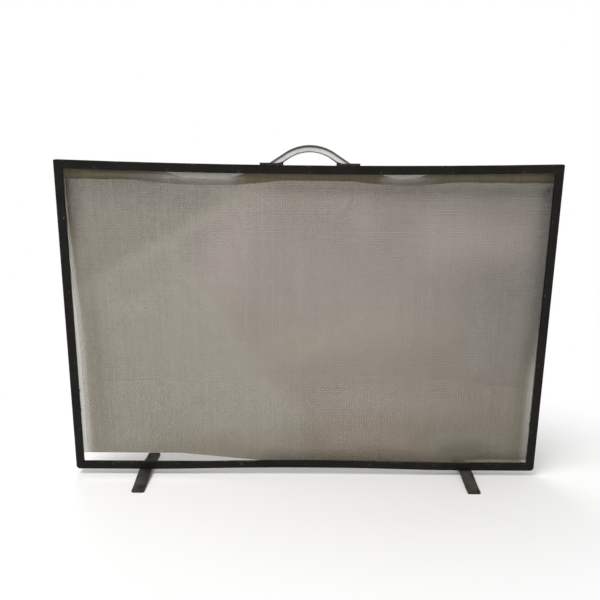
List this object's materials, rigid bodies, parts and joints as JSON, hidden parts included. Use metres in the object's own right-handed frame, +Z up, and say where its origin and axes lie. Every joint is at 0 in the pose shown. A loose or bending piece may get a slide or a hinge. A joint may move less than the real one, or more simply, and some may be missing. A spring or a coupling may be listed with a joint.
{
  "type": "fireplace screen",
  "caption": "Flat free-standing fireplace screen: black steel-angle frame around fine woven wire, a bright bow handle on the top rail and arched flat-bar feet.",
  "frame": {"origin": "centre of the footprint on the floor, under the middle of the frame", "axes": "+X to the right along the frame, +Y towards the back of the screen, +Z up"},
  "size_m": [0.76, 0.13, 0.5348],
  "materials": {
    "frame_paint": "satin black paint, rubbed and dusty at the edges",
    "wire_steel": "dull woven steel wire",
    "strip_paint": "flat black paint",
    "rivet_paint": "flat black paint over steel",
    "weld_paint": "rough black paint over weld metal",
    "handle_steel": "polished steel with fine scratches",
    "pad_paint": "satin black paint",
    "foot_paint": "satin black paint, worn grey on top",
    "screw_steel": "blackened steel"
  },
  "bodies": {
    "root": {"top_rail": "frame_paint", "bottom_rail": "frame_paint", "left_stile": "frame_paint", "right_stile": "frame_paint", "mesh_panel": "wire_steel", "top_strip": "strip_paint", "bottom_strip": "strip_paint", "left_strip": "strip_paint", "right_strip": "strip_paint", "strip_rivets": "rivet_paint", "tack_welds": "weld_paint", "handle_bow": "handle_steel", "handle_pad_left": "pad_paint", "handle_pad_right": "pad_paint", "handle_screws": "screw_steel", "handle_nuts": "screw_steel", "foot_left": "foot_paint", "foot_right": "foot_paint", "foot_screws": "screw_steel", "foot_nuts": "screw_steel"}
  },
  "joints": []
}
